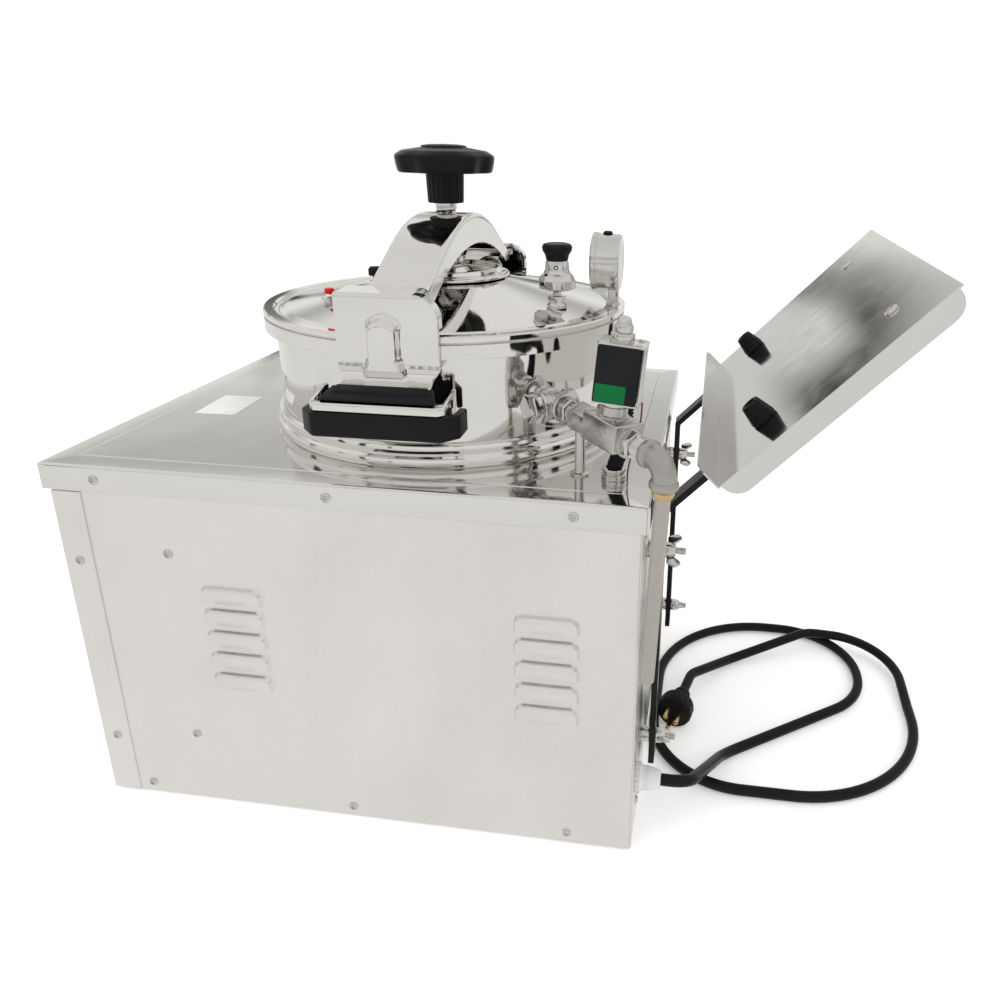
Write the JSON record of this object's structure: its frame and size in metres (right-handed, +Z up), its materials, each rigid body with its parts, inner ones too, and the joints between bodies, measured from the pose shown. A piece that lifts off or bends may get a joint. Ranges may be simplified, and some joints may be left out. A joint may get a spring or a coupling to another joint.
{
  "type": "countertop pressure fryer",
  "caption": "Electric pressure fryer: steel cabinet, clamped-lid pot with screw knob, solenoid exhaust line and a sloping rear shelf.",
  "frame": {"origin": "centre of the cabinet's footprint, on the plane its rubber feet rest on", "axes": "+Z up; the operator stands on the -Y side; +X is the operator's right; the shelf is behind, on +Y"},
  "size_m": [0.4143, 0.7763, 0.547],
  "materials": {
    "top_cover": "polished",
    "side_panels": "satin",
    "front_panel": "satin",
    "rear_panel": "satin",
    "base_plate": "satin",
    "housing_screws": "polished",
    "rubber_feet": "matte",
    "pot_vessel": "polished",
    "pot_base_ring": "polished",
    "pot_insulation": "fibre blanket",
    "heating_element": "oxidised",
    "fry_basket": "satin",
    "ear_brackets": "polished",
    "handle_grips": "satin",
    "handle_trims": "polished",
    "lid": "polished",
    "lid_gasket": "silicone",
    "lid_boss": "polished",
    "clamp_beam": "polished",
    "beam_nut": "machined",
    "thrust_cup": "satin",
    "clamp_screw": "satin",
    "knob": "satin",
    "relief_seat": "polished",
    "relief_weight": "polished",
    "relief_cap": "satin",
    "float_seat": "satin",
    "float_pin": "gloss",
    "safety_plug": "matte",
    "gauge_case": "polished",
    "gauge_dial": "matt",
    "gauge_needle": "satin",
    "gauge_glass": "clear",
    "exhaust_nipples": "polished",
    "exhaust_cross": "satin",
    "valve_body": "polished",
    "solenoid_tube": "satin",
    "solenoid_plunger": "satin",
    "solenoid_coil": "moulded",
    "solenoid_yoke": "satin",
    "coil_nut": "polished",
    "exhaust_elbow": "satin",
    "drop_pipe": "satin",
    "valve_post": "satin",
    "conduit": "satin",
    "shelf_panel": "satin",
    "shelf_feet": "matte",
    "shelf_arms": "satin",
    "shelf_screws": "polished",
    "arm_studs": "satin",
    "wing_nuts": "polished",
    "cable_gland": "matt",
    "power_cable": "matte",
    "plug_body": "matte",
    "plug_pins": "polished",
    "control_fascia": "film overlay",
    "rocker_frame": "satin",
    "rocker_switch": "satin",
    "drain_valve": "nickel plated",
    "drain_lever": "satin"
  },
  "bodies": {
    "cabinet": {"top_cover": "top_cover", "side_panels": "side_panels", "front_panel": "front_panel", "rear_panel": "rear_panel", "base_plate": "base_plate", "housing_screws": "housing_screws", "rubber_feet": "rubber_feet", "pot_vessel": "pot_vessel", "pot_base_ring": "pot_base_ring", "pot_insulation": "pot_insulation", "heating_element": "heating_element", "fry_basket": "fry_basket", "ear_brackets": "ear_brackets", "handle_grips": "handle_grips", "handle_trims": "handle_trims", "exhaust_nipples": "exhaust_nipples", "exhaust_cross": "exhaust_cross", "valve_body": "valve_body", "solenoid_tube": "solenoid_tube", "solenoid_coil": "solenoid_coil", "solenoid_yoke": "solenoid_yoke", "coil_nut": "coil_nut", "exhaust_elbow": "exhaust_elbow", "drop_pipe": "drop_pipe", "valve_post": "valve_post", "conduit": "conduit", "shelf_panel": "shelf_panel", "shelf_feet": "shelf_feet", "shelf_arms": "shelf_arms", "shelf_screws": "shelf_screws", "arm_studs": "arm_studs", "wing_nuts": "wing_nuts", "cable_gland": "cable_gland", "power_cable": "power_cable", "plug_body": "plug_body", "plug_pins": "plug_pins", "control_fascia": "control_fascia", "rocker_frame": "rocker_frame", "drain_valve": "drain_valve"},
    "lid_group": {"lid": "lid", "lid_gasket": "lid_gasket", "lid_boss": "lid_boss", "clamp_beam": "clamp_beam", "beam_nut": "beam_nut", "relief_seat": "relief_seat", "float_seat": "float_seat", "safety_plug": "safety_plug", "gauge_case": "gauge_case", "gauge_dial": "gauge_dial", "gauge_glass": "gauge_glass"},
    "thrust": {"thrust_cup": "thrust_cup"},
    "screw": {"clamp_screw": "clamp_screw", "knob": "knob"},
    "relief": {"relief_weight": "relief_weight", "relief_cap": "relief_cap"},
    "float": {"float_pin": "float_pin"},
    "needle": {"gauge_needle": "gauge_needle"},
    "plunger": {"solenoid_plunger": "solenoid_plunger"},
    "rocker": {"rocker_switch": "rocker_switch"},
    "lever": {"drain_lever": "drain_lever"}
  },
  "joints": [
    {"name": "lid_turn", "type": "hinge", "parent": "cabinet", "child": "lid_group", "pos_m": [0, 0.036, 0.42], "axis": [0, 0, 1], "range_deg": [-40, 0]},
    {"name": "screw_lift", "type": "slide", "parent": "lid_group", "child": "thrust", "axis": [0, 0, 1], "range_m": [0, 0.01]},
    {"name": "knob_turn", "type": "hinge", "parent": "thrust", "child": "screw", "pos_m": [0, 0.036, 0.5], "axis": [0, 0, 1], "range_deg": [0, 900]},
    {"name": "relief_lift", "type": "slide", "parent": "lid_group", "child": "relief", "axis": [0, 0, 1], "range_m": [0, 0.003]},
    {"name": "float_rise", "type": "slide", "parent": "lid_group", "child": "float", "axis": [0, 0, 1], "range_m": [0, 0.004]},
    {"name": "gauge_needle_turn", "type": "hinge", "parent": "lid_group", "child": "needle", "pos_m": [-0.01, 0.1686, 0.453], "axis": [0, 1, 0], "range_deg": [0, 270]},
    {"name": "plunger_lift", "type": "slide", "parent": "cabinet", "child": "plunger", "axis": [-0.0174, 0.0936, 0.9955], "range_m": [0, 0.003]},
    {"name": "mains_rocker", "type": "hinge", "parent": "cabinet", "child": "rocker", "pos_m": [0.12, -0.2283, 0.11], "axis": [1, 0, 0], "range_deg": [0, 22]},
    {"name": "drain_turn", "type": "hinge", "parent": "cabinet", "child": "lever", "pos_m": [-0.095, -0.2493, 0.09], "axis": [0, 0, 1], "range_deg": [0, 90]}
  ],
  "couplings": [
    {"joint": "screw_lift", "follows": "knob_turn", "m_per_rad": 0.00063662}
  ]
}
